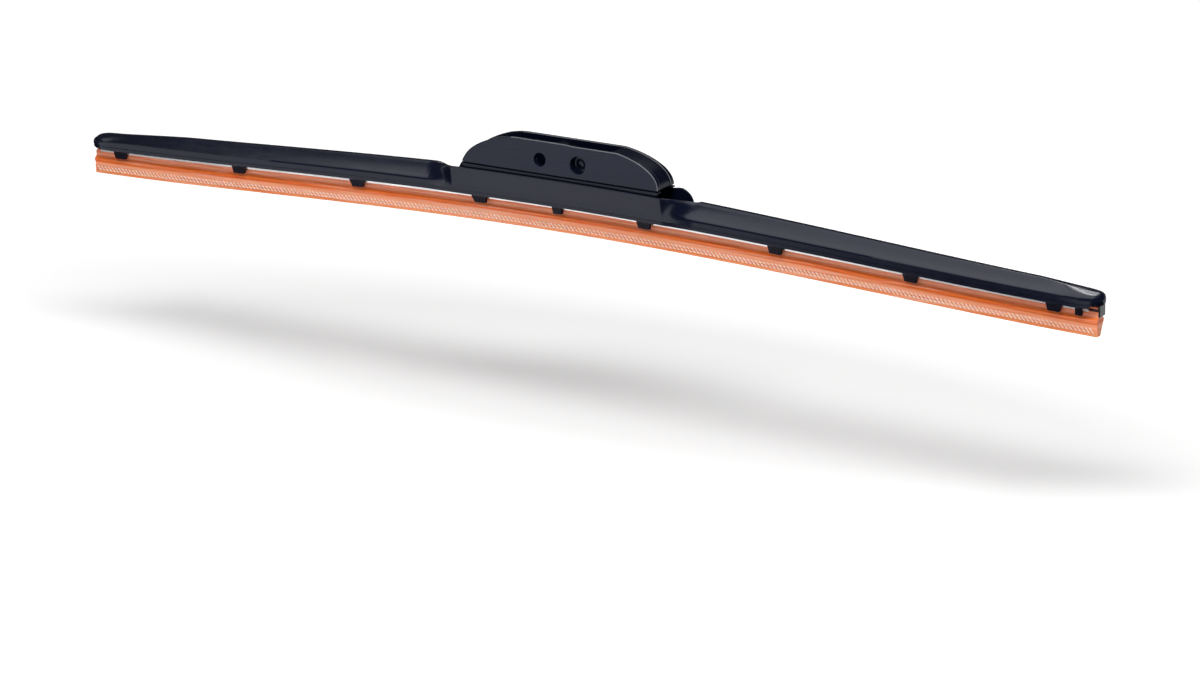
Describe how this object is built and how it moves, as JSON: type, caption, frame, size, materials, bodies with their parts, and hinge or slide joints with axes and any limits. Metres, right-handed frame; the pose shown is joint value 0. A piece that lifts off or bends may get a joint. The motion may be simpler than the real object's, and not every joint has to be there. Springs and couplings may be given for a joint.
{
  "type": "windscreen wiper blade",
  "caption": "Bowed black hybrid wiper blade with an orange ribbed silicone element held by claws and steel rails, and a rocking side-pin arm adapter with a lock cap.",
  "frame": {"origin": "midway between the adapter's two side-pin holes, on their height and in the blade's middle plane", "axes": "+X along the blade towards the end with the end cap, +Z away from the glass, -Y towards the leading side with the scrubbing flap"},
  "size_m": [0.4513, 0.0144, 0.0421],
  "materials": {
    "black_plastic": "satin, faintly bluish black",
    "claw_plastic": "matt black",
    "orange_silicone": "translucent orange-red, knurled flap",
    "rail_steel": "bright strip",
    "bracket_steel": "zinc-plated"
  },
  "bodies": {
    "arm_adapter": {"adapter": "black_plastic"},
    "blade": {"cover": "black_plastic", "claw_left_1": "claw_plastic", "claw_left_2": "claw_plastic", "claw_left_3": "claw_plastic", "claw_left_4": "claw_plastic", "claw_centre": "claw_plastic", "claw_right_1": "claw_plastic", "claw_right_2": "claw_plastic", "claw_right_3": "claw_plastic", "claw_right_4": "claw_plastic", "refill_lock": "claw_plastic", "rail_leading": "rail_steel", "rail_trailing": "rail_steel", "wiping_element": "orange_silicone", "end_cap": "claw_plastic", "saddle_bracket": "bracket_steel", "rivet_left": "bracket_steel", "rivet_right": "bracket_steel", "pivot_pin": "rail_steel"},
    "lock_cap": {"lock_cap": "black_plastic"}
  },
  "joints": [
    {"name": "blade_rock", "type": "hinge", "parent": "arm_adapter", "child": "blade", "pos_m": [0, 0, -0.0099], "axis": [0, 1, 0], "range_deg": [-6, 6]},
    {"name": "lock_cap_hinge", "type": "hinge", "parent": "arm_adapter", "child": "lock_cap", "pos_m": [0.041, 0, -0.0031], "axis": [0, 1, 0], "range_deg": [0, 100]}
  ]
}
